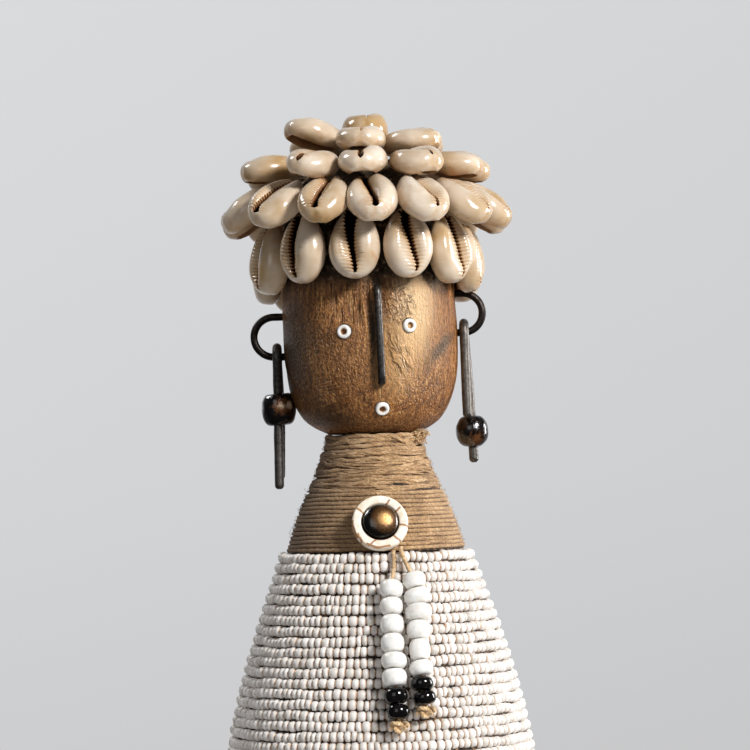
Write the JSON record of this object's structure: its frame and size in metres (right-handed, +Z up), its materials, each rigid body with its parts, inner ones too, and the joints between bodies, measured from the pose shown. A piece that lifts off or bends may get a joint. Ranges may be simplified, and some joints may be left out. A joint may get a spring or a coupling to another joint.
{
  "type": "namji doll",
  "caption": "Standing doll: carved wooden head with a cowrie-shell hair cap and iron earrings, twine-wound shoulders, ring pendant with bead tassels, and a bell-shaped bead-wound body.",
  "frame": {"origin": "middle of the flat underside of the bead body", "axes": "+Z up, the face looks along -Y, +X is to the right of someone who faces the doll"},
  "size_m": [0.1046, 0.1074, 0.293],
  "materials": {
    "carved_wood": "burnished, grain shown, stained dark under the hair",
    "wound_twine": "two-ply plant twine, matt",
    "seed_beads": "opaque white glass seed beads, soft gloss",
    "white_glass": "opaque white glass, gloss",
    "black_glass": "opaque black glass, high gloss",
    "brown_glass": "very dark brown glass, high gloss",
    "forged_iron": "blackened wrought wire, satin",
    "bone_ring": "bone white with brown hair cracks, satin",
    "bronze_dome": "dark bronze lustre, high gloss",
    "cowrie_shell": "natural shell, cream to tan, gloss"
  },
  "bodies": {
    "root": {"bead_body": "seed_beads", "shoulder_wrap": "wound_twine", "head": "carved_wood", "left_eye": "white_glass", "right_eye": "white_glass", "mouth": "white_glass", "nose_staple": "forged_iron", "left_ear_loop": "forged_iron", "right_ear_loop": "forged_iron", "left_ear_pin": "forged_iron", "right_ear_pin": "forged_iron", "left_ear_bead": "brown_glass", "right_ear_bead": "brown_glass", "pendant_ring": "bone_ring", "pendant_boss": "bronze_dome", "left_tassel_cord": "wound_twine", "right_tassel_cord": "wound_twine", "left_white_beads": "white_glass", "right_white_beads": "white_glass", "left_black_beads": "black_glass", "right_black_beads": "black_glass", "fringe_shell_1": "cowrie_shell", "fringe_shell_2": "cowrie_shell", "fringe_shell_3": "cowrie_shell", "fringe_shell_4": "cowrie_shell", "fringe_shell_5": "cowrie_shell", "fringe_shell_6": "cowrie_shell", "fringe_shell_7": "cowrie_shell", "fringe_shell_8": "cowrie_shell", "fringe_shell_9": "cowrie_shell", "fringe_shell_10": "cowrie_shell", "fringe_shell_11": "cowrie_shell", "fringe_shell_12": "cowrie_shell", "middle_row_shell_1": "cowrie_shell", "middle_row_shell_2": "cowrie_shell", "middle_row_shell_3": "cowrie_shell", "middle_row_shell_4": "cowrie_shell", "middle_row_shell_5": "cowrie_shell", "middle_row_shell_6": "cowrie_shell", "middle_row_shell_7": "cowrie_shell", "middle_row_shell_8": "cowrie_shell", "middle_row_shell_9": "cowrie_shell", "middle_row_shell_10": "cowrie_shell", "middle_row_shell_11": "cowrie_shell", "middle_row_shell_12": "cowrie_shell", "middle_row_shell_13": "cowrie_shell", "middle_row_shell_14": "cowrie_shell", "upper_row_shell_1": "cowrie_shell", "upper_row_shell_2": "cowrie_shell", "upper_row_shell_3": "cowrie_shell", "upper_row_shell_4": "cowrie_shell", "upper_row_shell_5": "cowrie_shell", "upper_row_shell_6": "cowrie_shell", "upper_row_shell_7": "cowrie_shell", "upper_row_shell_8": "cowrie_shell", "upper_row_shell_9": "cowrie_shell", "upper_row_shell_10": "cowrie_shell", "crown_shells": "cowrie_shell"}
  },
  "joints": []
}
